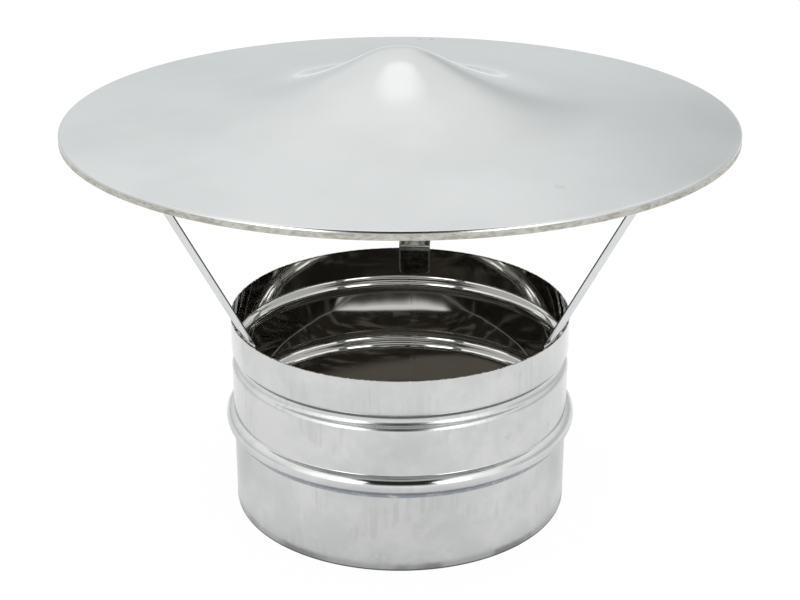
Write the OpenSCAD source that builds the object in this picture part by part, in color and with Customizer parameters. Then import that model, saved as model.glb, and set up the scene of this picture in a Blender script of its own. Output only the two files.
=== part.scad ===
// Round chimney cap: a spun rain hat carried over a beaded collar by three bent straps.
// Origin at the centre of the collar's lower edge, +Z up, millimetres.

/* [Collar] */
// Outside diameter of the collar
collar_d = 150; // [120:1:200]
// Height of the collar
collar_h = 88.5; // [75:0.5:160]
// Thickness of the collar sheet
collar_t = 0.5; // [0.4:0.1:0.8]
// Height of the outward stop bead's crest above the lower edge
stop_bead_z = 41.2; // [15:0.1:50]
// How far the stop bead reaches up from its crest
stop_bead_w = 4.4; // [3.5:0.1:6]
// How far its softer lower side reaches down from its crest
stop_foot_w = 6.6; // [6:0.1:9]
// How far the stop bead stands out
stop_bead_h = 3.4; // [1:0.1:4]
// Bend radius at the upper root of the stop bead, to the middle of the sheet
stop_root_r = 0.7; // [0.6:0.1:1.5]
// Distance from the collar's upper edge down to the middle of the inward bead
ring_bead_drop = 18.8; // [14:0.1:24]
// Half the width of the inward bead
ring_bead_w = 4.7; // [3.5:0.1:6]
// Depth of the inward bead
ring_bead_h = 2.6; // [1:0.1:3.5]
// Bend radius at the foot of the inward bead, to the middle of the sheet
ring_root_r = 2.4; // [0.6:0.1:3]
// Width of the lengthwise weld that closes the collar
seam_w = 1.8; // [1:0.1:4]
// How far that weld stands proud of the sheet
seam_proud = 0.1; // [0.05:0.01:0.12]
// Direction of that weld round the collar
seam_angle = 85; // [0:1:359]

/* [Hat] */
// Outside diameter of the hat
hat_d = 283.5; // [235:0.5:360]
// Thickness of the hat sheet
hat_t = 0.5; // [0.4:0.1:0.8]
// Open height between the collar's upper edge and the hat's lip
hat_gap = 85.3; // [60:0.1:140]
// Slope of the brim
brim_slope = 4; // [3:0.5:8]
// Slope of the steepest part, between the nose and the flare
flank_slope = 27; // [20:0.5:35]
// Straight length of the steepest part
flank_l = 9.3; // [2:0.1:20]
// Radius of the rounded nose
nose_r = 33; // [15:1:50]
// Radius of the hollow flare between the flank and the brim
flare_r = 160; // [80:5:200]
// Outer radius of the bend at the rim
rim_bend_r = 1.2; // [1:0.1:4]
// Straight height of the lip below that bend
lip_h = 2.2; // [0.5:0.1:6]

/* [Straps] */
// Width of a strap
strap_w = 15; // [10:0.5:25]
// Thickness of a strap
strap_t = 0.8; // [0.6:0.1:2]
// Length of the tab under the hat
head_l = 16.5; // [10:0.5:24]
// Distance from the rim in to the end of that tab
head_inset = 3.4; // [3:0.1:10]
// Space between the foot tab's end and the inward bead
foot_clear = 1.5; // [0.5:0.1:5]
// Inner radius of a strap's bends
strap_bend_r = 3; // [1:0.1:6]
// How far above the collar's edge a strap starts to lean out
lean_rise = 0.6; // [0:0.1:4]
// Corner radius at a strap's ends
strap_corner_r = 2; // [0.5:0.1:4]
// Direction of the back strap
back_angle = 84.5; // [75:0.5:105]
// Direction of the left strap
left_angle = 209.5; // [195:0.5:225]
// Direction of the right strap
right_angle = 330; // [315:0.5:345]

/* [Hidden] */
$fn = 180;
// Space between sheets that are spot-welded face to face
weld_gap = 0.15;
// Largest turn in degrees between two points of a rolled bend
bend_step = 7.5;
steel = [0.80, 0.81, 0.81];
strap_steel = [0.74, 0.76, 0.77];
collar_steel = [0.70, 0.71, 0.72];

// Collar, to the middle of its sheet
wall_r = collar_d / 2 - collar_t / 2;
ring_bead_z = collar_h - ring_bead_drop;

// Hat, on its upper face: rim, brim, flare, flank and nose, from the outside in
hat_r = hat_d / 2;
lip_z = collar_h + hat_gap;
bend_z = lip_z + lip_h;
brim_r = hat_r - rim_bend_r * (1 - sin(brim_slope));
brim_z = bend_z + rim_bend_r * cos(brim_slope);
nose_dr = nose_r * sin(flank_slope);
nose_dz = nose_r * (1 - cos(flank_slope));
flank_dr = flank_l * cos(flank_slope);
flank_dz = flank_l * sin(flank_slope);
flare_dr = flare_r * (sin(flank_slope) - sin(brim_slope));
flare_dz = flare_r * (cos(brim_slope) - cos(flank_slope));
brim_dr = brim_r - nose_dr - flank_dr - flare_dr;
nose_z = brim_z + brim_dr * tan(brim_slope) + flare_dz + flank_dz + nose_dz;

// Strap, on its outer face: both bends have their centres outside and below it
foot_r = collar_d / 2 - collar_t - weld_gap;
foot_z = ring_bead_z + ring_bead_w + foot_clear;
low_bend = [foot_r + strap_bend_r, collar_h + lean_rise];
top_bend_r = hat_r - head_inset - head_l * cos(brim_slope) - strap_bend_r * sin(brim_slope);
under_hat = (hat_t + weld_gap + strap_t + strap_bend_r) / cos(brim_slope);
top_bend = [top_bend_r, brim_z + (brim_r - top_bend_r) * tan(brim_slope) - under_hat];
strap_slope = atan2(top_bend[1] - low_bend[1], top_bend[0] - low_bend[0]);
strap_end = [hat_r - head_inset,
             top_bend[1] + strap_bend_r * cos(brim_slope) - head_l * sin(brim_slope)];

// Angles from a to b, both included, no further apart than bend_step
function turn(a, b) =
    let (n = ceil(abs(b - a) / bend_step)) [for (i = [0:n]) a + (b - a) * i / n];

// Stations [x, y, angle of the normal] on an arc, whose normals point out of its centre or into it
function bulge(c, r, angles) = [for (a = angles) [c[0] + r * cos(a), c[1] + r * sin(a), a]];
function hollow(c, r, angles) = [for (a = angles) [c[0] - r * cos(a), c[1] - r * sin(a), a]];

// A face of a sheet, at a distance from its stations, and the section between two such faces
function face(path, off) = [for (s = path) [s[0] + off * cos(s[2]), s[1] + off * sin(s[2])]];
function reversed(v) = [for (i = [len(v) - 1:-1:0]) v[i]];
function section(path, front, back) = concat(face(path, front), reversed(face(path, back)));

// One side of a bead is two arcs, the root's and the crown's, which turn by the same angle
function lean(w, h) = 2 * atan(h / w);
function both_r(w, h) = (w * w + h * h) / (2 * h);

// A bead rolled outwards, and one rolled inwards, each from its lower root to its upper root
function bead_out(z, w, foot_w, h, root_r) =
    let (a = lean(w, h), low_a = lean(foot_w, h), r = both_r(w, h) - root_r, low_r = both_r(foot_w, h) - r) concat(
        hollow([wall_r + low_r, z - foot_w], low_r, turn(0, -low_a)),
        bulge([wall_r + h - r, z], r, turn(-low_a, a)),
        hollow([wall_r + root_r, z + w], root_r, turn(a, 0))
    );
function bead_in(z, w, h, root_r) = let (a = lean(w, h), r = both_r(w, h) - root_r) concat(
    bulge([wall_r - root_r, z - w], root_r, turn(0, a)),
    hollow([wall_r - h + r, z], r, turn(a, -a)),
    bulge([wall_r - root_r, z + w], root_r, turn(-a, 0))
);

function collar_path() = concat(
    [[wall_r, 0, 0]],
    bead_out(stop_bead_z, stop_bead_w, stop_foot_w, stop_bead_h, stop_root_r),
    bead_in(ring_bead_z, ring_bead_w, ring_bead_h, ring_root_r),
    [[wall_r, collar_h, 0]]
);

function hat_path() = concat(
    bulge([0, nose_z - nose_r], nose_r, turn(90, 90 - flank_slope)),
    hollow([brim_r - brim_dr + flare_r * sin(brim_slope),
            brim_z + brim_dr * tan(brim_slope) + flare_r * cos(brim_slope)],
           flare_r, turn(90 - flank_slope, 90 - brim_slope)),
    bulge([hat_r - rim_bend_r, bend_z], rim_bend_r, turn(90 - brim_slope, 0)),
    [[hat_r, lip_z, 0]]
);

function strap_path() = concat(
    [[foot_r, foot_z, 0]],
    hollow(low_bend, strap_bend_r, turn(0, strap_slope - 90)),
    hollow(top_bend, strap_bend_r, turn(strap_slope - 90, -90 - brim_slope)),
    [[strap_end[0], strap_end[1], -90 - brim_slope]]
);

// A bar of the strap's width along +X, from x = 0 to l, with its corners rounded at x = 0
module bar(l) {
    translate([strap_corner_r, -strap_w / 2]) square([l - strap_corner_r, strap_w]);
    translate([0, strap_corner_r - strap_w / 2]) square([l, strap_w - 2 * strap_corner_r]);
    for (side = [-1, 1])
        translate([strap_corner_r, side * (strap_w / 2 - strap_corner_r)]) circle(strap_corner_r);
}

// One strap: its section follows the round of the collar and the hat, cut to a straight bar
module strap(angle) {
    color(strap_steel)
        rotate([0, 0, angle])
            intersection() {
                rotate_extrude() polygon(section(strap_path(), 0, -strap_t));
                translate([0, 0, foot_z])
                    rotate([0, -90, 0]) mirror([0, 0, 1]) linear_extrude(hat_r) bar(nose_z);
                translate([strap_end[0], 0, 0])
                    mirror([1, 0, 0]) linear_extrude(nose_z) bar(strap_end[0]);
            }
}

module hat() {
    color(steel) rotate_extrude() polygon(section(hat_path(), 0, -hat_t));
}

// The collar is one rolled strip, closed by a butt weld that follows the beads
module collar() {
    weld_half = collar_t / 2 + seam_proud;
    color(collar_steel) {
        rotate_extrude() polygon(section(collar_path(), collar_t / 2, -collar_t / 2));
        intersection() {
            rotate_extrude() polygon(section(collar_path(), weld_half, -weld_half));
            rotate([0, 0, seam_angle]) translate([0, -seam_w / 2, 0]) cube([collar_d, seam_w, collar_h]);
        }
    }
}

hat();
collar();
strap(back_angle);  // strap_back
strap(left_angle);  // strap_left
strap(right_angle);  // strap_right
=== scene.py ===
# %% [markdown]
# # A round chimney cap in stainless sheet
# A shallow spun rain hat stands on three bent straps over a short beaded collar. All of it is thin bare
# steel, so the lesson has two halves: true sheet sections, which decide where a reflection bends, and a
# studio that gives the steel something to reflect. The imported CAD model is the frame: every piece below
# goes where its CAD node is.

# %% Load the frame and keep its box
import math

import bpy
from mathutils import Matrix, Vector


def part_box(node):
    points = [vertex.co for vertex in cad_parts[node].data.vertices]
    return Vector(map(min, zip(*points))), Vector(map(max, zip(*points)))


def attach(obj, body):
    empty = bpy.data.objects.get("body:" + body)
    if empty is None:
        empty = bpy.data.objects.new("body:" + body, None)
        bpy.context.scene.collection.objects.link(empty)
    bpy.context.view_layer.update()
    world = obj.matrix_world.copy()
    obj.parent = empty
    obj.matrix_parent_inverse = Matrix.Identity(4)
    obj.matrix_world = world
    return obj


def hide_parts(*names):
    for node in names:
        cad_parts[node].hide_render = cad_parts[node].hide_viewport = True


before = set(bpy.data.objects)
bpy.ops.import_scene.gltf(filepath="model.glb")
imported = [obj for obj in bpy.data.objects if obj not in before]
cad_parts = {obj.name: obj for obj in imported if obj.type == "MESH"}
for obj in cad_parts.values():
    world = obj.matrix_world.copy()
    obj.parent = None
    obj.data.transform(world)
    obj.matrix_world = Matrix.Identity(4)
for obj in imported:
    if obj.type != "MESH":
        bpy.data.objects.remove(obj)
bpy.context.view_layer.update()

MM = 0.001
print("frame nodes:", ", ".join(sorted(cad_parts)))

# %% [markdown]
# ## Camera
# The photograph looks down on the cap from about 23 degrees with a short telephoto lens. The camera could
# be moved by hand until the outlines meet, but the rim and the beads are circles of known sizes, so its
# distance, height, pitch and focal length were fitted to them. Four numbers set it.

# %% Camera
camera_back = 641.6 * MM
camera_up = 362.6 * MM
camera_pitch = math.radians(22.84)
focal_px = 1572.6
picture_w_px = 800
sensor_mm = 36.0

lens = bpy.data.cameras.new("camera")
lens.sensor_width = sensor_mm
lens.lens = sensor_mm * focal_px / picture_w_px
camera = bpy.data.objects.new("camera", lens)
camera.location = (0, -camera_back, camera_up)
camera.rotation_euler = (math.pi / 2 - camera_pitch, 0, 0)
bpy.context.scene.collection.objects.link(camera)
bpy.context.scene.camera = camera
print("lens:", round(lens.lens, 1), "mm")

# %% [markdown]
# ## Sums written in Python become nodes
# Node trees are long to write one link at a time. The class below wraps one output socket, so `1 - mask`
# or `a * b` adds the Math node that does it, and `node` adds any other node. It serves shaders and
# Geometry Nodes alike.

# %% A wire that can be used in sums
class Wire:
    """One output of a node. A sum written on it adds its Math nodes."""

    def __init__(self, tree, socket=None):
        self.tree = tree
        self.socket = socket

    def node(self, kind, settings=None, inputs=None, out=0):
        """Adds a node, with its settings first and then the values or wires of its inputs."""
        made = self.tree.nodes.new(kind)
        for name, value in (settings or {}).items():
            setattr(made, name, value)
        for name, value in (inputs or {}).items():
            if isinstance(value, Wire):
                self.tree.links.new(value.socket, made.inputs[name])
            else:
                made.inputs[name].default_value = value
        return Wire(self.tree, made.outputs[out] if made.outputs else None)

    def out(self, name):
        """Another output of the same node."""
        return Wire(self.tree, self.socket.node.outputs[name])

    def math(self, operation, *values):
        return self.node("ShaderNodeMath", {"operation": operation}, dict(enumerate(values)))

    def __add__(self, other):
        return self.math("ADD", self, other)

    def __sub__(self, other):
        return self.math("SUBTRACT", self, other)

    def __rsub__(self, other):
        return self.math("SUBTRACT", other, self)

    def __mul__(self, other):
        return self.math("MULTIPLY", self, other)

    def __truediv__(self, other):
        return self.math("DIVIDE", self, other)

    def __rtruediv__(self, other):
        return self.math("DIVIDE", other, self)

    __radd__ = __add__
    __rmul__ = __mul__

# %% Masks, mixes and noise
def split(vector):
    """A vector's parts. The wire is its X, and its out("Y") and out("Z") are the others."""
    return vector.node("ShaderNodeSeparateXYZ", {}, {0: vector})


def length(x, y):
    return x.math("SQRT", x * x + y * y)


def step(value, low, high):
    """0 below low, 1 above high and smooth between them. With low above high it falls instead."""
    flip = low > high
    made = value.node("ShaderNodeMapRange", {"interpolation_type": "SMOOTHSTEP"},
                      {"Value": value, "From Min": min(low, high), "From Max": max(low, high)})
    return 1 - made if flip else made


def band(value, low, high, rise, fall):
    """1 between low and high. It rises and falls over the given lengths, inside those two."""
    return step(value, low, low + rise) * step(value, high, high - fall)


def mix(mask, a, b):
    """Colour a where the mask is 0 and colour b where it is 1."""
    return mask.node("ShaderNodeMix", {"data_type": "RGBA"}, {0: mask, 6: colour(a), 7: colour(b)}, 2)


def colour(value):
    return value if isinstance(value, Wire) else (*value, 1)


def cloud(place, size, detail=2.0, seed=(0, 0, 0), stretch=(1, 1, 1)):
    """Noise from 0 to 1 with blots of about the given size, longer along an axis whose stretch is over 1."""
    sized = place.node("ShaderNodeMapping", {},
                       {"Vector": place, "Location": seed, "Scale": tuple(1 / (size * s) for s in stretch)})
    return place.node("ShaderNodeTexNoise", {}, {"Vector": sized, "Scale": 1.0, "Detail": detail}, "Fac")


def seen_and_mirrored(wire):
    """Two masks: 1 for what the camera sees directly, and 1 for what it sees in metal or through glass."""
    rays = wire.node("ShaderNodeLightPath")
    mirrored = wire.math("MAXIMUM", rays.out("Is Glossy Ray"), rays.out("Is Transmission Ray"))
    return rays.out("Is Camera Ray"), mirrored

# %% [markdown]
# ## Studio
# Bare steel shows almost nothing of its own, so the studio is half of the finish. The photograph's metal
# tells what stood round it: a white table and backdrop, a broad soft light overhead, bright panels beside
# the camera, and a dark gap between them where the camera stands. They could be built from planes and
# lamps, but each would have to be placed by trial. Here the world paints them by direction, for mirrored
# rays only. Camera rays see plain white, and soft lamps throw the shadow on the table.

# %% World
# Light by direction. A pair says where a change starts and where it is complete, on the unit sphere.
BACKDROP, UPPER_GAIN, CEILING_GAIN, OVERHEAD_GAIN = 0.81, 0.27, 0.10, 0.27
UPPER_RISE, CEILING_RISE, OVERHEAD_EDGE = (0.05, 0.50), (0.45, 0.85), (0.83, 0.92)
RIGHT_LOSS, RIGHT_RETURN = 0.25, 0.8
RIGHT_EDGE, RIGHT_FOOT, RIGHT_TOP = (0.06, 0.26), (0.08, 0.28), (0.3, 0.6)
PANEL_GAIN, PANEL_SIDE, PANEL_FOOT = 0.6, (-0.1, -0.6), (-0.1, 0.1)
GAP_LOSS_LOW, GAP_LOSS_HIGH = 0.60, 0.385
GAP_FOOT, GAP_MIDDLE, GAP_SIDE, GAP_BACK = (0.02, 0.20), (0.18, 0.42), (0.46, 0.26), (0.12, -0.04)
LOW_TINT, HIGH_TINT, TINT_RISE = (0.965, 1.0, 1.0), (1.0, 1.0, 0.995), (0.1, 0.7)
ROOM_LIGHT = 1.05


def make_world():
    world = bpy.data.worlds.new("studio")
    world.use_nodes = True
    tree = world.node_tree
    tree.nodes.clear()
    wire = Wire(tree)
    way = split(wire.node("ShaderNodeTexCoord", {}, {}, "Generated"))
    x, y, z = way, way.out("Y"), way.out("Z")

    backdrop = BACKDROP + step(z, *UPPER_RISE) * UPPER_GAIN + step(z, *CEILING_RISE) * CEILING_GAIN
    overhead = step(z, *OVERHEAD_EDGE) * OVERHEAD_GAIN
    right = step(x, *RIGHT_EDGE) * step(z, *RIGHT_FOOT) * (1 - step(z, *RIGHT_TOP) * RIGHT_RETURN)
    panels = step(y, *PANEL_SIDE) * step(z, *PANEL_FOOT) * PANEL_GAIN
    light = (backdrop + overhead) * (1 - right * RIGHT_LOSS) + panels
    gap = step(z, *GAP_FOOT) * GAP_LOSS_LOW + step(z, *GAP_MIDDLE) * GAP_LOSS_HIGH
    gap = gap * step(wire.math("ABSOLUTE", x), *GAP_SIDE) * step(y, *GAP_BACK)
    light = light * (1 - gap)

    seen, mirrored = seen_and_mirrored(wire)
    strength = seen + (1 - seen) * (mirrored * light + (1 - mirrored) * ROOM_LIGHT)
    tint = mix(seen, mix(step(z, *TINT_RISE), LOW_TINT, HIGH_TINT), (1, 1, 1))
    glow = wire.node("ShaderNodeBackground", {}, {"Color": tint, "Strength": strength})
    wire.node("ShaderNodeOutputWorld", {}, {"Surface": glow})
    bpy.context.scene.world = world
    return world


world = make_world()
bpy.context.scene.view_settings.view_transform = "Standard"
print("world nodes:", len(world.node_tree.nodes))

# %% Lamps
def soft_box(name, place, aim, size, radiance):
    """An area lamp of an even radiance. A lamp's watts are radiance times its area times pi."""
    lamp = bpy.data.lights.new(name, "AREA")
    lamp.shape = "RECTANGLE"
    lamp.size, lamp.size_y = size
    lamp.energy = radiance * size[0] * size[1] * math.pi
    made = bpy.data.objects.new(name, lamp)
    made.location = place
    made.rotation_euler = (Vector(aim) - Vector(place)).to_track_quat("-Z", "Y").to_euler()
    bpy.context.scene.collection.objects.link(made)
    return made


cap_middle = (0, 0, 0.1)
overhead_box = soft_box("overhead_box", (0, 0.1, 1.5), cap_middle, size=(1.3, 1.1), radiance=1.3)
overhead_box.visible_glossy = False
front_boxes = [
    soft_box(f"front_box_{name}", (side * 0.72, -1.1, 0.62), cap_middle, size=(0.5, 0.75), radiance=2.0)
    for name, side in (("left", -1), ("right", 1))]
print("lamps:", 1 + len(front_boxes))

# %% [markdown]
# ## Table
# The table is white and keeps the cap's shadow. Camera rays and mirrored rays see it mostly as plain
# white, the way a cut-out product picture does. In the steel it carries painted shade: it is a little
# darker behind, beside and in front of the cap, where the hat shades it, darker at the cap's foot, and
# lighter to the left and darker to the right. Inside the collar the real table lies in the dark, so its
# colour there is painted dark brown as shade, with faint blots and a faint pool of painted light and one
# bright crescent of the light that comes in under the hat. Painting these on the table is simpler than
# finding the lamps that throw them, and the collar's beads still bend their reflections rightly.

# %% Boxes of the frame's shells, and the collar's own sizes
collar_low, collar_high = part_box("collar")
hat_low, hat_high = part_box("hat")
collar_wall = 0.5 * MM
collar_r = 75.0 * MM
stop_bead_z = 41.2 * MM
ring_bead_z = collar_high.z - 18.8 * MM
print("hat's rim reaches", round(hat_high.x / MM, 2), "mm from the axis")

# %% How the steel sees the table
MIRRORED_WHITE, LEFT_GAIN, RIGHT_DROP, FRONT_DROP = 0.87, 0.05, 0.07, 0.10
SHADE_BEHIND, CONTACT_SHADE, DIM = 0.36, 0.5, 0.2


def table_outside(x, y, from_axis):
    """How much of the plain white a mirrored ray sees outside the collar, and how far the paint is dimmed."""
    across = x.math("ABSOLUTE", x)
    behind = step(y, -90 * MM, 0.0) * step(from_axis, 330 * MM, 150 * MM)
    before = step(across, 100 * MM, 20 * MM) * step(from_axis, 250 * MM, 180 * MM) * step(y, 0.0, -50 * MM)
    beside = step(across, 75 * MM, 85 * MM) * step(from_axis, 150 * MM, 110 * MM) * step(y, -20 * MM, 10 * MM)
    touching = step(from_axis, 84 * MM, 76 * MM)
    # Painted light and shade for mirrored rays: lighter to the left, darker to the right and in front.
    level = MIRRORED_WHITE + step(x, -20 * MM, -150 * MM) * LEFT_GAIN
    level = level - step(x, 50 * MM, 200 * MM) * RIGHT_DROP - before * FRONT_DROP
    dim = before * DIM + beside * DIM
    return (1 - behind * SHADE_BEHIND) * (1 - touching * CONTACT_SHADE) * (1 - dim) * level, dim


# Painted light on the table inside the collar: a bright crescent, a faint pool and faint warm blots.
CRESCENT_LIGHT, POOL_LIGHT, BLOT_LIGHT = 0.88, 0.09, 0.06
CRESCENT_CENTRE_Y, CRESCENT_FLATNESS = 38 * MM, 0.72
POOL_X, POOL_Y = -12 * MM, 28 * MM


def table_inside(where, x, y):
    """How bright the table is within the collar, and the mask of the crescent."""
    outer = step(length(x, y - CRESCENT_CENTRE_Y), 91.5 * MM, 94.5 * MM)
    inner = step(x.math("SQRT", x * x * CRESCENT_FLATNESS + y * y), 65.5 * MM, 62.5 * MM)
    crescent = outer * inner * step(x, -60 * MM, -50 * MM)
    pool = step(length(x - POOL_X, y - POOL_Y), 26 * MM, 14 * MM)
    # Blots of painted light, seen only in the steel.
    light_blots = step(cloud(where, 9 * MM, 3.0, (2, 7, 0), (2.4, 1, 1)), 0.50, 0.64)
    faint = x.math("MAXIMUM", pool * POOL_LIGHT, light_blots * BLOT_LIGHT)
    return crescent * CRESCENT_LIGHT + (1 - crescent) * faint, crescent


print("crescent's light:", CRESCENT_LIGHT, "and pool's light:", POOL_LIGHT)

# %% Table
# Painted shade: the second colour is the table's dark brown within the collar, where it lies in the dark.
TABLE_WHITE, TABLE_SHADE_IN_COLLAR, WARM_LIGHT = (0.86, 0.86, 0.86), (0.105, 0.093, 0.076), (1.0, 0.91, 0.80)
PLAIN_SHARE, PLAIN_WHITE = 0.94, 1.012
TABLE_HALF = 3.0


def make_table(inner_r):
    material = bpy.data.materials.new("table")
    material.use_nodes = True
    tree = material.node_tree
    tree.nodes.clear()
    wire = Wire(tree)
    where = wire.node("ShaderNodeTexCoord", {}, {}, "Object")
    x = split(where)
    y = x.out("Y")
    from_axis = length(x, y)
    outside = step(from_axis, inner_r * 0.985, inner_r)
    white_outside, dim = table_outside(x, y, from_axis)
    white_inside, crescent = table_inside(where, x, y)

    seen, mirrored = seen_and_mirrored(wire)
    white = seen * outside * PLAIN_SHARE + mirrored * (outside * white_outside + (1 - outside) * white_inside)
    # Painted shade: for mirrored rays the matt white is dimmed in the same places.
    paint = mix(mirrored * dim, TABLE_WHITE, (0, 0, 0))
    matt = wire.node("ShaderNodeBsdfDiffuse", {}, {"Color": mix(outside, TABLE_SHADE_IN_COLLAR, paint)})
    tint = mix(wire.math("MAXIMUM", outside, crescent), WARM_LIGHT, (1, 1, 1))
    plain = wire.node("ShaderNodeEmission", {}, {"Color": tint, "Strength": PLAIN_WHITE})
    both = wire.node("ShaderNodeMixShader", {}, {0: white, 1: matt, 2: plain})
    wire.node("ShaderNodeOutputMaterial", {}, {"Surface": both})

    corners = [(right * TABLE_HALF, back * TABLE_HALF, 0)
               for right, back in ((-1, -1), (1, -1), (1, 1), (-1, 1))]
    mesh = bpy.data.meshes.new("table")
    mesh.from_pydata(corners, [], [(0, 1, 2, 3)])
    mesh.materials.append(material)
    table = bpy.data.objects.new("table", mesh)
    bpy.context.scene.collection.objects.link(table)
    return table


table = make_table(collar_r - collar_wall)
print("table reaches", round(table.dimensions.x / 2, 2), "m each way")

# %% [markdown]
# ## Sheet sections
# Rolled and spun sheet keeps one thickness, so its section is a path with the same offset on both sides.
# A path is a list of stations: radius, height and the angle of the sheet's normal there. `bulge` turns
# round a centre behind the sheet and `hollow` round a centre in front of it, and arcs that share an end
# angle run into each other smoothly.

# %% Stations along a sheet
ARC_STEP = 4.0


def turn(start, end):
    """Angles from start to end, both included, no further apart than ARC_STEP."""
    count = max(1, math.ceil(abs(end - start) / ARC_STEP))
    return [start + (end - start) * i / count for i in range(count + 1)]


def along(centre, r, angles, sign):
    """Stations on an arc. The sign is 1 with the normals out of its centre and -1 with them into it."""
    x, z = centre
    return [(x + sign * r * math.cos(math.radians(a)), z + sign * r * math.sin(math.radians(a)), a)
            for a in angles]


def bulge(centre, r, angles):
    return along(centre, r, angles, 1)


def hollow(centre, r, angles):
    return along(centre, r, angles, -1)


def straight(start, end, pieces):
    """Stations between two others, both left out, that share one normal."""
    return [tuple(a + (b - a) * i / pieces for a, b in zip(start, end)) for i in range(1, pieces)]


def joined(*runs):
    """Runs laid end to end. A station that repeats the last one is dropped."""
    path = []
    for station in (s for run in runs for s in run):
        if not path or math.dist(path[-1][:2], station[:2]) > 0.01 * MM:
            path.append(station)
    return path


def offset(station, distance):
    x, z, a = station
    return x + distance * math.cos(math.radians(a)), z + distance * math.sin(math.radians(a))


print("stations on a quarter turn:", len(turn(0, 90)))

# %% A section as a row of points
EDGE_EASE = 0.07 * MM


def section_mesh(name, path, front, back, closed):
    """Points along the front face and back along the other, each with its sheet's normal and its side."""
    rows = [(*offset(s, front), s[2], 1) for s in path]
    rows += [(*offset(s, back), s[2], -1) for s in reversed(path)]
    turns = [len(path) - 1] + ([len(rows) - 1] if closed else [])
    for corner in sorted(turns, reverse=True):
        a, b = rows[corner], rows[(corner + 1) % len(rows)]
        before, after = rows[corner - 1], rows[(corner + 2) % len(rows)]
        eased = [moved(a, before, EDGE_EASE), moved(a, b, EDGE_EASE),
                 moved(b, a, EDGE_EASE), moved(b, after, EDGE_EASE)]
        if corner == len(rows) - 1:
            rows = [eased[3], *rows[1:-1], *eased[:3]]
        else:
            rows[corner:corner + 2] = eased
    if closed:
        rows = rows[::-1]
        rows.append(rows[0])
    mesh = bpy.data.meshes.new(name)
    mesh.from_pydata([(x, 0, z) for x, z, a, s in rows], [(i, i + 1) for i in range(len(rows) - 1)], [])
    normals = [v for x, z, a, s in rows for v in (math.cos(math.radians(a)), 0, math.sin(math.radians(a)))]
    mesh.attributes.new("facing", "FLOAT_VECTOR", "POINT").data.foreach_set("vector", normals)
    mesh.attributes.new("side", "FLOAT", "POINT").data.foreach_set("value", [s for x, z, a, s in rows])
    made = bpy.data.objects.new(name, mesh)
    bpy.context.scene.collection.objects.link(made)
    return made


def moved(point, towards, distance):
    """A point moved a little towards another. It keeps its normal and its side."""
    away = math.dist(point[:2], towards[:2])
    share = min(0.5, distance / away)
    return (*[p + (t - p) * share for p, t in zip(point[:2], towards[:2])], point[2], point[3])


print("cut edges are eased by", round(EDGE_EASE / MM, 2), "mm")

# %% [markdown]
# ## Revolving a section
# Hat and collar are both surfaces of revolution, so one Geometry Nodes tree makes both. It lays a grid
# with one column for each point of the section and one row for each step round, then moves every grid
# point to its place on the section, turned by its row's angle. A Spin in edit mode would give the same
# form, but here the rows can crowd together at the collar's weld, and the weld's ridge, the slight peak
# that rolling leaves there and a faint ripple of the sheet are three offsets along the sheet's normal.
# The grid also keeps two values for the finishes, stored before it is moved: whether a point is on the
# inner side, and how far it is from the weld.

# %% The revolving tree
TURN_INPUTS = {
    "Steps round": ("NodeSocketInt", 240),
    "Crowding": ("NodeSocketFloat", 0.0),
    "Weld direction": ("NodeSocketFloat", 0.0),
    "Weld width": ("NodeSocketFloat", 0.001),
    "Weld ridge": ("NodeSocketFloat", 0.0),
    "Peak height": ("NodeSocketFloat", 0.0),
    "Peak reach": ("NodeSocketFloat", 0.01),
    "Ripple": ("NodeSocketFloat", 0.0),
    "Ripple length": ("NodeSocketFloat", 0.03),
    "Material": ("NodeSocketMaterial", None),
}


def new_tree(name, inputs):
    """An empty tree with a geometry going in and out, and its named inputs as wires."""
    tree = bpy.data.node_groups.new(name, "GeometryNodeTree")
    tree.interface.new_socket("Geometry", in_out="INPUT", socket_type="NodeSocketGeometry")
    for title, (kind, value) in inputs.items():
        socket = tree.interface.new_socket(title, in_out="INPUT", socket_type=kind)
        if value is not None:
            socket.default_value = value
    tree.interface.new_socket("Geometry", in_out="OUTPUT", socket_type="NodeSocketGeometry")
    source = Wire(tree).node("NodeGroupInput")
    return Wire(tree), {title: source.out(title) for title in ("Geometry", *inputs)}


def finish_tree(wire, mesh, given):
    solid = wire.node("GeometryNodeRealizeInstances", {}, {"Geometry": mesh})
    coated = wire.node("GeometryNodeSetMaterial", {}, {"Geometry": solid, "Material": given["Material"]})
    wire.node("NodeGroupOutput", {}, {"Geometry": coated})
    return wire.tree


def store(wire, mesh, name, value):
    """Keeps a value at every point of a mesh, under a name that a material can read."""
    return wire.node("GeometryNodeStoreNamedAttribute", {"data_type": "FLOAT", "domain": "POINT"},
                     {"Geometry": mesh, "Name": name, "Value": value})


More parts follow.
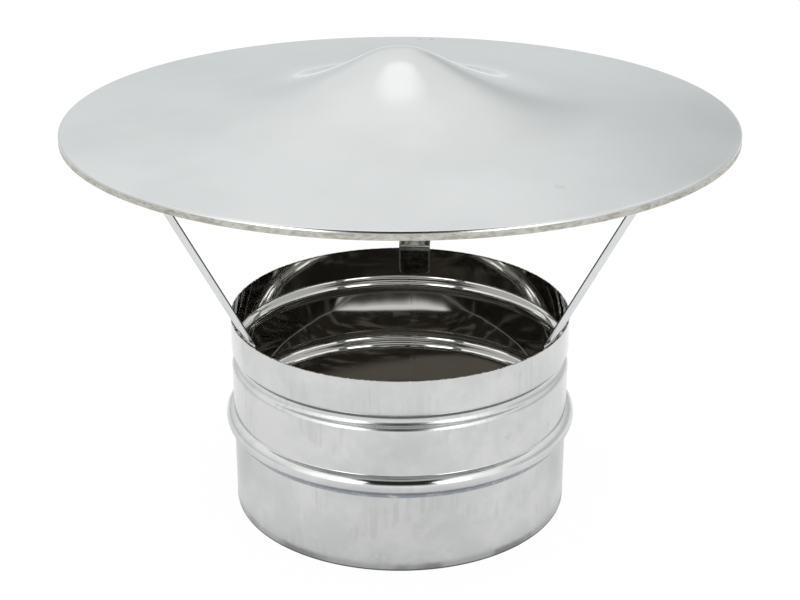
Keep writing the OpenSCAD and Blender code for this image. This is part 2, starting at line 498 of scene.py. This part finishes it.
def make_revolving_tree():
    wire, given = new_tree("revolved sheet", TURN_INPUTS)
    section, steps = given["Geometry"], given["Steps round"]
    count = wire.node("GeometryNodeAttributeDomainSize", {}, {"Geometry": section}, "Point Count")
    grid = wire.node("GeometryNodeMeshGrid", {},
                     {"Size X": count - 1, "Size Y": steps, "Vertices X": count, "Vertices Y": steps + 1})
    here = wire.node("GeometryNodeInputPosition")
    cell = split(here)
    column = wire.math("ROUND", cell + (count - 1) / 2)
    share = wire.math("ROUND", cell.out("Y") + steps / 2) / steps * math.tau
    round_from_weld = share - given["Crowding"] * wire.math("SINE", share)

    def on_section(data_type, value):
        return wire.node("GeometryNodeSampleIndex", {"data_type": data_type},
                         {"Geometry": section, "Value": value, "Index": column})

    point = split(on_section("FLOAT_VECTOR", here))
    normal = wire.node("GeometryNodeInputNamedAttribute", {"data_type": "FLOAT_VECTOR"}, {"Name": "facing"})
    facing = split(on_section("FLOAT_VECTOR", normal))
    which = wire.node("GeometryNodeInputNamedAttribute", {"data_type": "FLOAT"}, {"Name": "side"})
    side = on_section("FLOAT", which)

    away = wire.math("MINIMUM", round_from_weld, math.tau - round_from_weld) * point
    half = given["Weld width"] / 2
    ridge = step(away / half, 1.15, 0.75) * given["Weld ridge"] * side
    peak = wire.math("EXPONENT", (0 - away) / given["Peak reach"]) * given["Peak height"]

    angle = round_from_weld + given["Weld direction"]
    cosine, sine = wire.math("COSINE", angle), wire.math("SINE", angle)
    ideal = wire.node("ShaderNodeCombineXYZ", {}, {0: point * cosine, 1: point * sine, 2: point.out("Z")})
    scaled = wire.node("ShaderNodeVectorMath", {"operation": "SCALE"},
                       {0: ideal, "Scale": 1 / given["Ripple length"]})
    noise = wire.node("ShaderNodeTexNoise", {}, {"Vector": scaled, "Scale": 1.0, "Detail": 1.0}, "Fac")
    shift = ridge + peak + (noise - 1) * given["Ripple"]

    r, z = point + facing * shift, point.out("Z") + facing.out("Z") * shift
    place = wire.node("ShaderNodeCombineXYZ", {}, {0: r * cosine, 1: r * sine, 2: z})
    noted = store(wire, store(wire, grid, "inner", (1 - side) / 2), "from_weld", away)
    bent = wire.node("GeometryNodeSetPosition", {}, {"Geometry": noted, "Position": place})
    closed = wire.node("GeometryNodeMergeByDistance", {}, {"Geometry": bent, "Distance": 0.001 * MM})
    smooth = wire.node("GeometryNodeSetShadeSmooth", {}, {"Geometry": closed})
    return finish_tree(wire, smooth, given)


revolving = make_revolving_tree()
print("revolving tree:", len(revolving.nodes), "nodes")

# %% Running a tree on an object
SHARP_TURN = math.radians(32)


def run_tree(source, tree, values, name):
    """Runs a tree on an object and keeps the result as a plain mesh object. The source is removed."""
    modifier = source.modifiers.new(name, "NODES")
    modifier.node_group = tree
    for socket in tree.interface.items_tree:
        if socket.in_out == "INPUT" and socket.name in values:
            modifier[socket.identifier] = values[socket.name]
    ready = source.evaluated_get(bpy.context.evaluated_depsgraph_get())
    mesh = bpy.data.meshes.new_from_object(ready)
    source.modifiers.remove(modifier)
    bpy.data.objects.remove(source)
    mesh.name = name
    mesh.set_sharp_from_angle(angle=SHARP_TURN)
    made = bpy.data.objects.new(name, mesh)
    bpy.context.scene.collection.objects.link(made)
    return made


def triangles(piece):
    return sum(len(face.vertices) - 2 for face in piece.data.polygons)

# %% [markdown]
# ## Steel
# All three finishes are bare stainless, a metal that mirrors about two thirds of the light. What tells
# the pieces apart is how they were worked: the hat is clean and bright with a rough turned rim, the
# collar has faint drawing streaks up its wall and marks of its rollers, and the straps have dark sheared
# edges. Each finish starts from the same few nodes and adds its own marks. A painted picture could carry
# them too, but masks made from a point's place and from noise stay sharp at any distance.

# %% What every finish shares
def start_material(name):
    material = bpy.data.materials.new(name)
    material.use_nodes = True
    tree = material.node_tree
    tree.nodes.clear()
    wire = Wire(tree)
    place = wire.node("ShaderNodeTexCoord", {}, {}, "Object")
    return material, wire, place


def bump(wire, height, depth, normal=None):
    """The surface's normal over a height from 0 to 1 that stands for so many metres."""
    inputs = {"Height": height, "Distance": depth, "Strength": 1.0}
    if normal is not None:
        inputs["Normal"] = normal
    return wire.node("ShaderNodeBump", {}, inputs)


def finish_material(material, wire, base, roughness, normal):
    shader = wire.node("ShaderNodeBsdfPrincipled", {},
                       {"Base Color": base, "Metallic": 1.0, "Roughness": roughness, "Normal": normal})
    wire.node("ShaderNodeOutputMaterial", {}, {"Surface": shader})
    return material


SPOT_CORE, RAG_SIZE = 0.35, 0.4


def spot(place, centre, r):
    """1 near a centre, falling to 0 at the distance r from it."""
    gap = place.node("ShaderNodeVectorMath", {"operation": "DISTANCE"}, {0: place, 1: centre}, "Value")
    return step(gap, r, r * SPOT_CORE)


def marked(base, place, marks):
    """A colour with ragged marks on it. Each mark is x, y, z and r in mm, its strength and its tone."""
    for x, y, z, r, strength, tone in marks:
        mark = spot(place, (x * MM, y * MM, z * MM), r * MM)
        ragged = step(cloud(place, r * RAG_SIZE * MM, 2.0, (x, y, 0)), 0.30, 0.60)
        base = mix(mark * ragged * strength, base, tone)
    return base


def attribute(wire, name):
    """A value that the mesh carries."""
    return wire.node("ShaderNodeAttribute", {"attribute_name": name}, {}, "Fac")


print("a mark is whole within", SPOT_CORE, "of its radius")

# %% [markdown]
# ### The hat's finish
# The top is clean cold-rolled sheet with a faint haze, a few smudges and the two brown burns of the back
# strap's spot welds. The underside is a little rougher, and its colour is a little darker as painted
# shade. The turned rim was run over by the forming roll, so it is rough, warm and mottled. It starts at
# one height all round, which makes its mask a single step.

# %% Hat steel
STEEL = (0.645, 0.657, 0.657)
HAT_STEEL_DULL = (0.592, 0.605, 0.605)
UNDERSIDE_SHADE = (0.61, 0.605, 0.59)
RIM_LIGHT = (0.55, 0.54, 0.495)
RIM_DARK = (0.34, 0.33, 0.29)

SMUDGE, PINKISH, WELD_BURN = (0.50, 0.505, 0.50), (0.64, 0.60, 0.59), (0.10, 0.08, 0.06)
# Each mark: x, y, z and radius in millimetres, strength and tone
HAT_MARKS = [
    (58.0, -99.9, 178.9, 3.4, 0.5, SMUDGE),
    (-117.4, -13.3, 178.8, 4.5, 0.5, PINKISH),
    (-105.8, -39.9, 179.1, 4.0, 0.4, PINKISH),
    (9.8, 133.6, 177.7, 1.5, 1.0, WELD_BURN),
    (15.9, 133.1, 177.7, 1.5, 1.0, WELD_BURN),
]

hat_r = hat_high.x
lip_z = hat_low.z
lip_h = 2.2 * MM
rim_bend_r = 1.2 * MM


def make_hat_steel():
    material, wire, place = start_material("hat_steel")
    height = split(place).out("Z")
    haze = cloud(place, 60 * MM, 3.0)
    base = mix(step(haze, 0.35, 0.75), STEEL, HAT_STEEL_DULL)
    base = marked(base, place, HAT_MARKS)

    under = attribute(wire, "inner")
    # Painted shade: the underside is a little darker than the top.
    base = mix(under, base, UNDERSIDE_SHADE)

    rim_top = lip_z + lip_h
    rim = step(height, rim_top + 0.35 * MM, rim_top) * (1 - under)
    bend = step(height, rim_top + rim_bend_r + 0.10 * MM, rim_top + rim_bend_r - 0.05 * MM)
    scuff = cloud(place, 2.2 * MM, 4.0, (3, 1, 7), (1, 1, 0.4))
    blots = cloud(place, 7 * MM, 3.0, (5, 2, 0), (1, 1, 0.5))
    worn = step(scuff * 0.55 + blots * 0.45, 0.34, 0.62)
    base = mix(rim, base, mix(worn, RIM_DARK, RIM_LIGHT))
    roughness = 0.085 + haze * 0.03 + bend * 0.10 + rim * 0.2 + under * 0.05
    normal = bump(wire, rim * scuff, 0.03 * MM)
    return finish_material(material, wire, base, roughness, normal)


hat_steel = make_hat_steel()
print("hat steel:", len(hat_steel.node_tree.nodes), "nodes")

# %% [markdown]
# ### The collar's finish
# Rolled from bright strip. Its drawing streaks run up the wall, so their noise is stretched along the
# axis, and broad clouds break up the mirror. A dark line of painted reflection runs along the inward
# bead's upper half, and a bluish band of painted reflected shade lies under the stop bead. The lower edge
# is scuffed where the collar has been pushed into pipes, the cut edge at the top is raw, and the weld
# line has a straw tint. Each of these is a mask of height, of noise, or of the distance from the weld
# that the mesh carries. The inside, which the mesh marks too, is painted a little darker as shade.

# %% Collar steel
COLLAR_STEEL = (0.645, 0.65, 0.645)
COLLAR_STREAK = (0.575, 0.587, 0.585)
COLLAR_DRAWN = (0.52, 0.525, 0.51)
COLLAR_INSIDE_SHADE = (0.60, 0.597, 0.580)
EDGE_BURR = (0.80, 0.76, 0.66)
EDGE_DARK = (0.13, 0.11, 0.085)
SCUFFED = (0.25, 0.245, 0.25)
UNDER_BEAD_SHADE_BLUE = (0.30, 0.325, 0.37)
ROOT_DARK_REFLECTION = (0.06, 0.062, 0.06)
STRAW = (0.50, 0.44, 0.34)
RUBBED, BROWNISH = (0.45, 0.455, 0.46), (0.50, 0.45, 0.40)
# Each mark: x, y, z and radius in millimetres, strength and tone
COLLAR_MARKS = [
    (45.0, -60.0, 56.2, 2.6, 0.5, BROWNISH),
    (63.6, -39.8, 50.8, 2.0, 0.5, BROWNISH),
    (64.3, -38.6, 80.2, 2.5, 0.5, PINKISH),
    (10.4, -74.3, 19.0, 8.0, 0.2, RUBBED),
    (-9.0, -74.4, 3.5, 9.0, 0.4, RUBBED),
]

# Lowest and highest edge of a band round the collar, and how far it takes to rise and to fall
ROOT_REFLECTION_BAND = (ring_bead_z + 0.6 * MM, ring_bead_z + 2.4 * MM, 0.5 * MM, 0.7 * MM)
GROOVE_BAND = (ring_bead_z - 5.1 * MM, ring_bead_z + 0.3 * MM, 0.8 * MM, 1.0 * MM)
UNDER_BEAD_SHADE_BAND = (stop_bead_z - 6.3 * MM, stop_bead_z - 1.6 * MM, 0.7 * MM, 1.0 * MM)
FOOT_HIGH, FOOT_LOW, FOOT_RAG = 5.2 * MM, 2.8 * MM, 1.6 * MM


def make_collar_steel():
    material, wire, place = start_material("collar_steel")
    height = split(place).out("Z")
    inside = attribute(wire, "inner")
    outside = 1 - inside

    haze = cloud(place, 22 * MM, 4.0, (4, 4, 4))
    patches = cloud(place, 5 * MM, 3.0, (1, 6, 2))
    streaky = step(cloud(place, 20 * MM, 2.0, (9, 1, 3)), 0.42, 0.62)
    drawn = cloud(place, 1.8 * MM, 2.0, (0, 0, 0), (1, 1, 14)) * streaky
    base = mix(step(haze * 0.75 + patches * 0.25, 0.38, 0.66), COLLAR_STREAK, COLLAR_STEEL)
    base = mix(step(drawn, 0.40, 0.70) * 0.5, base, COLLAR_DRAWN)
    # Painted shade: the inside is a little darker than the outside.
    base = mix(inside, marked(base, place, COLLAR_MARKS), COLLAR_INSIDE_SHADE)
    weld = step(attribute(wire, "from_weld"), 2.6 * MM, 0.8 * MM) * outside
    base = mix(weld * 0.8, base, STRAW)

    # Painted dark reflection: a line along the inward bead's upper half.
    root_reflection = band(height, *ROOT_REFLECTION_BAND) * outside
    base = mix(root_reflection * 0.78, base, ROOT_DARK_REFLECTION)
    # Painted reflection of shade: a bluish band, in patches, under the stop bead.
    under_bead_shade = band(height, *UNDER_BEAD_SHADE_BAND) * outside
    base = mix(under_bead_shade * step(patches, 0.2, 0.5), base, UNDER_BEAD_SHADE_BLUE)
    groove = band(height, *GROOVE_BAND) * outside

    scratches = cloud(place, 0.9 * MM, 4.0, (2, 8, 1), (3.0, 3.0, 1))
    rubbed = step(cloud(place, 26 * MM, 2.0, (3, 5, 0)), 0.42, 0.58)
    foot = step(height + scratches * FOOT_RAG, FOOT_HIGH, FOOT_LOW) * (0.35 + rubbed * 0.65) * outside
    base = mix(foot * 0.85, base, SCUFFED)
    base = mix(step(height, 0.9 * MM, 0.3 * MM), base, EDGE_DARK)
    behind_edge = step(height, collar_high.z - 0.8 * MM, collar_high.z - 0.5 * MM) * inside
    base = mix(behind_edge * 0.8, base, EDGE_DARK)
    edge = step(height, collar_high.z - 0.12 * MM, collar_high.z - 0.04 * MM)
    burr = step(cloud(place, 0.8 * MM, 2.0, (7, 3, 0)), 0.50, 0.60)
    base = mix(edge, base, mix(burr, EDGE_DARK, EDGE_BURR))
    roughness = 0.065 + haze * 0.03 - inside * 0.04 + groove * 0.15 + foot * 0.12 + edge * 0.3
    grain = (drawn * 0.08 + foot * scratches * 2.0) * outside
    rolled = cloud(place, 12 * MM, 1.0, (8, 8, 8), (1, 1, 5)) * inside
    normal = bump(wire, rolled, 0.05 * MM, bump(wire, grain, 0.01 * MM))
    return finish_material(material, wire, base, roughness, normal)


collar_steel = make_collar_steel()
print("collar steel:", len(collar_steel.node_tree.nodes), "nodes")

# %% [markdown]
# ### The straps' finish
# Bright strip cut by a shear: the faces mirror, while the edge all round is torn and dark. The foot tabs
# are painted dark and mottled as shade inside the collar, with painted highlights along their sides, and
# the back strap's inner face above the collar is painted dark as shade. The mesh marks its edge faces and
# carries how far a point is across and into the strip, because no plain coordinate tells these apart on a
# bent strap.

# %% Strap steel
STRAP_STEEL = (0.605, 0.625, 0.628)
SHEARED = (0.035, 0.035, 0.034)
BACK_SPAN_SHADE = (0.24, 0.24, 0.215)
TAB_SHADE_PALE = (0.27, 0.26, 0.235)
TAB_SHADE_DEEP = (0.11, 0.105, 0.095)


def scaled_tone(tone, share):
    return tuple(share * v for v in tone)


def make_strap_steel():
    material, wire, place = start_material("strap_steel")
    haze = cloud(place, 12 * MM, 3.0)
    fine = cloud(place, 0.8 * MM, 3.0)
    depth = attribute(wire, "depth")
    cut = attribute(wire, "sheared") * step(depth, 0.30, 0.42)
    parts = split(place)
    height = parts.out("Z")
    back = step(parts.out("Y"), 60 * MM, 66 * MM)
    tab = step(height, collar_high.z - 0.4 * MM, collar_high.z - 1.2 * MM)
    mottle = cloud(place, 1.8 * MM, 3.0, (2, 2, 5))
    # Painted highlight: the tab's sides are left lighter.
    edge_highlight = step(attribute(wire, "across"), 0.86, 0.93)
    base = mix(step(haze, 0.4, 0.7), STRAP_STEEL, scaled_tone(STRAP_STEEL, 0.93))
    # Painted shade on the foot tab, mottled, with its sides left lighter as painted highlights.
    base = mix(tab * (1 - edge_highlight * 0.5), base, mix(step(mottle, 0.40, 0.62), TAB_SHADE_PALE, TAB_SHADE_DEEP))
    span = step(height, collar_high.z + 2.5 * MM, collar_high.z + 5 * MM)
    above = step(height, collar_high.z + 0.7 * MM, collar_high.z + 1.5 * MM)
    # Painted shade on the back strap's inner face above the collar.
    base = mix(back * above * depth * 0.9, base, BACK_SPAN_SHADE)
    base = mix(cut, base, mix(fine, SHEARED, scaled_tone(SHEARED, 1.8)))
    roughness = 0.09 + haze * 0.05 + span * 0.16 + cut * 0.2 + tab * edge_highlight * 0.12
    return finish_material(material, wire, base, roughness, bump(wire, fine * (0.1 + cut), 0.02 * MM))


strap_steel = make_strap_steel()
print("strap steel:", len(strap_steel.node_tree.nodes), "nodes")

# %% [markdown]
# ## Hat
# The rain hat is one disc of sheet, spun over a form. From the axis outwards its upper face is a rounded
# nose, a straight flank, a wide hollow flare, the shallow brim and the turned rim. It could be a curve
# drawn by eye and lathed, but bare steel shows every break in a curve. So each arc here starts at the
# angle where the last one ended, and the reflections flow over it without a break.

# %% Hat
hat_t = 0.5 * MM
brim_slope, flank_slope = 4.0, 27.0
nose_r, flare_r, flank_l = 33.0 * MM, 160.0 * MM, 9.3 * MM
FLANK_STEPS, FLARE_STEPS, BRIM_STEPS = 4, 24, 16


def hat_path():
    """Stations on the upper face, from the axis to the lip's lower edge."""
    bend_z = lip_z + lip_h
    slope = math.radians(brim_slope)
    steep = math.radians(flank_slope)
    brim_r = hat_r - rim_bend_r * (1 - math.sin(slope))
    brim_z = bend_z + rim_bend_r * math.cos(slope)
    flare_dr = flare_r * (math.sin(steep) - math.sin(slope))
    brim_dr = brim_r - nose_r * math.sin(steep) - flank_l * math.cos(steep) - flare_dr
    flare_foot = (brim_r - brim_dr, brim_z + brim_dr * math.tan(slope))
    nose = bulge((0, hat_high.z - nose_r), nose_r, turn(90, 90 - flank_slope))
    flare_centre = (flare_foot[0] + flare_r * math.sin(slope), flare_foot[1] + flare_r * math.cos(slope))
    flare_turn = (flank_slope - brim_slope) / FLARE_STEPS
    flare_angles = [90 - flank_slope + flare_turn * i for i in range(FLARE_STEPS + 1)]
    flare = hollow(flare_centre, flare_r, flare_angles)
    rim = bulge((hat_r - rim_bend_r, bend_z), rim_bend_r, turn(90 - brim_slope, 0))
    flank = straight(nose[-1], flare[0], FLANK_STEPS)
    brim = straight(flare[-1], rim[0], BRIM_STEPS)
    return joined(nose, flank, flare, brim, rim, [(hat_r, lip_z, 0)])


hat_section = section_mesh("hat section", hat_path(), 0, -hat_t, False)
hat_sizes = {"Steps round": 360, "Ripple": 0.05 * MM, "Ripple length": 70 * MM, "Material": hat_steel}
hat = run_tree(hat_section, revolving, hat_sizes, "spun_hat")
print("hat:", triangles(hat), "triangles")

# %% [markdown]
# ## Collar
# The collar is one strip of sheet, rolled round, with an outward bead that stops the pipe and an inward
# bead near the top. A bead could be a torus set against a cylinder, but its foot would then be a crease.
# In rolled sheet it is three arcs, a root at each foot and a crown between them, which turn by the same
# angle so that the wall stays straight on both sides. The outward bead's lower side is the longer and
# softer one.

# %% Collar
stop_bead = {"z": stop_bead_z, "down": 6.6 * MM, "up": 4.4 * MM, "rise": 3.4 * MM, "root": 0.7 * MM}
ring_bead = {"z": ring_bead_z, "down": 4.7 * MM, "up": 4.7 * MM, "rise": 2.6 * MM, "root": 2.4 * MM}
weld_direction = math.radians(85)
wall_r = collar_r - collar_wall / 2
SPIGOT_STEPS, WALL_STEPS = 5, 3


def bead(size, outwards):
    """Lower root, crown and upper root. Root and crown of one side turn by the same angle."""
    rise, low, high = size["rise"], size["z"] - size["down"], size["z"] + size["up"]
    lean = {side: 2 * math.degrees(math.atan(rise / size[side])) for side in ("down", "up")}
    both = {side: (size[side] ** 2 + rise ** 2) / (2 * rise) for side in ("down", "up")}
    crown = both["up"] - size["root"]
    root = {side: both[side] - crown for side in ("down", "up")}
    if outwards:
        return joined(hollow((wall_r + root["down"], low), root["down"], turn(0, -lean["down"])),
                      bulge((wall_r + rise - crown, size["z"]), crown, turn(-lean["down"], lean["up"])),
                      hollow((wall_r + root["up"], high), root["up"], turn(lean["up"], 0)))
    return joined(bulge((wall_r - root["down"], low), root["down"], turn(0, lean["down"])),
                  hollow((wall_r - rise + crown, size["z"]), crown, turn(lean["down"], -lean["up"])),
                  bulge((wall_r - root["up"], high), root["up"], turn(-lean["up"], 0)))


def collar_path():
    """Stations in the middle of the sheet, from the lower edge to the upper one."""
    foot, top = (wall_r, collar_low.z, 0), (wall_r, collar_high.z, 0)
    stop, ring = bead(stop_bead, True), bead(ring_bead, False)
    return joined([foot], straight(foot, stop[0], SPIGOT_STEPS), stop,
                  straight(stop[-1], ring[0], WALL_STEPS), ring, straight(ring[-1], top, WALL_STEPS), [top])


collar_section = section_mesh("collar section", collar_path(), collar_wall / 2, -collar_wall / 2, True)
collar_sizes = {
    "Steps round": 320,
    "Crowding": 0.8,
    "Weld direction": weld_direction,
    "Weld width": 1.8 * MM,
    "Weld ridge": 0.05 * MM,
    "Peak height": 0.25 * MM,
    "Peak reach": 10 * MM,
    "Ripple": 0.06 * MM,
    "Ripple length": 26 * MM,
    "Material": collar_steel,
}
collar = run_tree(collar_section, revolving, collar_sizes, "rolled_collar")
print("collar:", triangles(collar), "triangles")

# %% [markdown]
# ## Straps
# A strap is flat strip with two bends: a foot tab inside the collar and a head tab under the hat. A strip
# swept along a curve would have the bends, but its tabs would be flat across, and the real ones follow
# the round of the sheet that they are welded to. So the strip is built from rings of points, one at each
# station, round at the tabs and flat on the span. The same function makes all three, turned to their
# places, so each is a piece of its own.

# %% Strap path
strap_w, strap_t = 15.0 * MM, 0.8 * MM
strap_bend_r = 3.0 * MM
weld_gap = 0.15 * MM
head_l, head_inset, foot_clear, lean_rise = 16.5 * MM, 3.4 * MM, 1.5 * MM, 0.6 * MM
corner_r = 2.0 * MM
CORNER_SHARES = [0.0, 0.04, 0.15, 0.33, 0.6, 1.0]
TAB_STEPS, SPAN_STEPS, HEAD_STEPS = 4, 10, 5


def strap_path():
    """Stations on the outer face, from the foot's end to the head's end, and the span's own angle."""
    slope = math.radians(brim_slope)
    brim_r = hat_r - rim_bend_r * (1 - math.sin(slope))
    brim_z = lip_z + lip_h + rim_bend_r * math.cos(slope)
    foot_r = collar_r - collar_wall - weld_gap
    foot_z = ring_bead["z"] + ring_bead["up"] + foot_clear
    low = (foot_r + strap_bend_r, collar_high.z + lean_rise)
    high_r = hat_r - head_inset - head_l * math.cos(slope) - strap_bend_r * math.sin(slope)
    under_hat = (hat_t + weld_gap + strap_t + strap_bend_r) / math.cos(slope)
    high = (high_r, brim_z + (brim_r - high_r) * math.tan(slope) - under_hat)
    lean = math.degrees(math.atan2(high[1] - low[1], high[0] - low[0]))
    end_angle = -90 - brim_slope
    end = (hat_r - head_inset, high[1] + strap_bend_r * math.cos(slope) - head_l * math.sin(slope))
    low_bend = hollow(low, strap_bend_r, turn(0, lean - 90))
    high_bend = hollow(high, strap_bend_r, turn(lean - 90, end_angle))
    insets = [corner_r * share for share in CORNER_SHARES]
    foot_end = [(foot_r, foot_z + inset, 0) for inset in insets]
    head_end = [(end[0] - inset * math.cos(slope), end[1] + inset * math.sin(slope), end_angle)
                for inset in reversed(insets)]
    stations = joined(foot_end, straight(foot_end[-1], low_bend[0], TAB_STEPS), low_bend,
                      straight(low_bend[-1], high_bend[0], SPAN_STEPS), high_bend,
                      straight(high_bend[-1], head_end[0], HEAD_STEPS), head_end)
    return stations, lean - 90


path, span_angle = strap_path()
print("strap stations:", len(path))

# %% Strap mesh
ACROSS = 12
STRAP_DIRECTIONS = {"strap_back": 84.5, "strap_left": 209.5, "strap_right": 330.0}


def strap_point(station, share, depth, left, flat):
    """A point of the strap: share runs across from -1 to 1 and depth goes in from the outer face.

    The tabs are round about the cap's axis. The flat span sits at a third of that round's height.
    """
    x, z = offset(station, -depth)
    reach = min(left, corner_r)
    half = strap_w / 2 - corner_r + math.sqrt(corner_r ** 2 - (corner_r - reach) ** 2)
    y = share * half
    round_x = math.sqrt(x * x - y * y)
    flat_x = x - (x - math.sqrt(x * x - half * half)) / 3
    return round_x + (flat_x - round_x) * flat, y, z


def make_strap(name, degrees):
    """A closed strip of rings, one at each station, with a flat end at each side."""
    lengths = [0.0]
    for a, b in zip(path, path[1:]):
        lengths.append(lengths[-1] + math.dist(a[:2], b[:2]))
    points, faces, cuts, across, depths = [], [], [], [], []
    for station, at in zip(path, lengths):
        left = min(at, lengths[-1] - at)
        flat = 1.0 if abs(station[2] - span_angle) < 1e-6 else 0.0
        ring = [(-1 + 2 * i / ACROSS, 0.0) for i in range(ACROSS + 1)]
        ring += [(share, strap_t) for share, _ in reversed(ring)]
        points += [strap_point(station, share, depth, left, flat) for share, depth in ring]
        across += [abs(share) for share, depth in ring]
        depths += [depth / strap_t for share, depth in ring]
    size = 2 * (ACROSS + 1)
    for row in range(len(path) - 1):
        for i in range(size):
            a, b = row * size + i, row * size + (i + 1) % size
            faces.append((a, b, b + size, a + size))
            cuts.append(1.0 if i in (ACROSS, size - 1) else 0.0)
    for start in (0, (len(path) - 1) * size):
        for i in range(ACROSS):
            a, b = start + i, start + i + 1
            c, d = start + size - 2 - i, start + size - 1 - i
            faces.append((a, d, c, b) if start == 0 else (a, b, c, d))
            cuts.append(1.0)
    turned = math.radians(degrees)
    cosine, sine = math.cos(turned), math.sin(turned)
    mesh = bpy.data.meshes.new(name)
    mesh.from_pydata([(x * cosine - y * sine, x * sine + y * cosine, z) for x, y, z in points], [], faces)
    sheared = mesh.attributes.new("sheared", "FLOAT", "FACE")
    sheared.data.foreach_set("value", cuts)
    mesh.attributes.new("across", "FLOAT", "POINT").data.foreach_set("value", across)
    mesh.attributes.new("depth", "FLOAT", "POINT").data.foreach_set("value", depths)
    mesh.materials.append(strap_steel)
    mesh.shade_smooth()
    mesh.set_sharp_from_angle(angle=SHARP_TURN)
    made = bpy.data.objects.new(name, mesh)
    bpy.context.scene.collection.objects.link(made)
    return made


straps = {node: make_strap(f"bent_{node}", degrees) for node, degrees in STRAP_DIRECTIONS.items()}
print("straps:", {node: triangles(piece) for node, piece in straps.items()}, "triangles")

# %% [markdown]
# ## Hand the pieces to the frame
# Every piece rides on the one body of this part and stands for its CAD node, which is hidden.

# %% Ride and replace
def place_piece(piece, node):
    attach(piece, "root")
    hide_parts(node)


place_piece(hat, "hat")
place_piece(collar, "collar")
for node, piece in straps.items():
    place_piece(piece, node)
